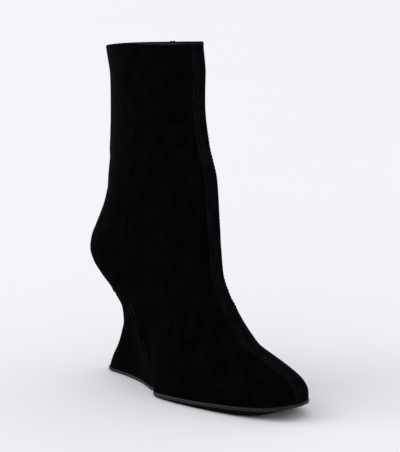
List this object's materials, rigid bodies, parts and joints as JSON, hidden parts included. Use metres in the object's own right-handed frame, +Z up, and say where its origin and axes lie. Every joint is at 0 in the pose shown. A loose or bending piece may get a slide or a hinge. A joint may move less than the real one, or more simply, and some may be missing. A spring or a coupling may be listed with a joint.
{
  "type": "wedge ankle boot",
  "caption": "Suede wedge ankle boot for the right foot: close shaft, raised strip down the front to the toe, covered wedge heel, thin sole and a zip on the inner side.",
  "frame": {"origin": "middle of the boot's box, on the floor", "axes": "+X from the heel to the toe, +Y towards the inner side of the foot, +Z up from the floor"},
  "size_m": [0.2382, 0.0804, 0.302],
  "materials": {
    "suede": "napped",
    "wedge_cover": "napped",
    "sole": "matte",
    "lining": "smooth",
    "zip_tape": "matte",
    "zip_metal": "dark satin"
  },
  "bodies": {
    "boot": {"upper": "suede", "wedge": "wedge_cover", "outsole": "sole", "insole": "lining", "zip_chain": "zip_tape", "zip_slider": "zip_metal"},
    "pull": {"zip_pull": "zip_metal"}
  },
  "joints": [
    {"name": "pull_swing", "type": "hinge", "parent": "boot", "child": "pull", "pos_m": [-0.04877, 0.03039, 0.28543], "axis": [0.9989, 0.0331, 0.0318], "range_deg": [0, 170]}
  ]
}
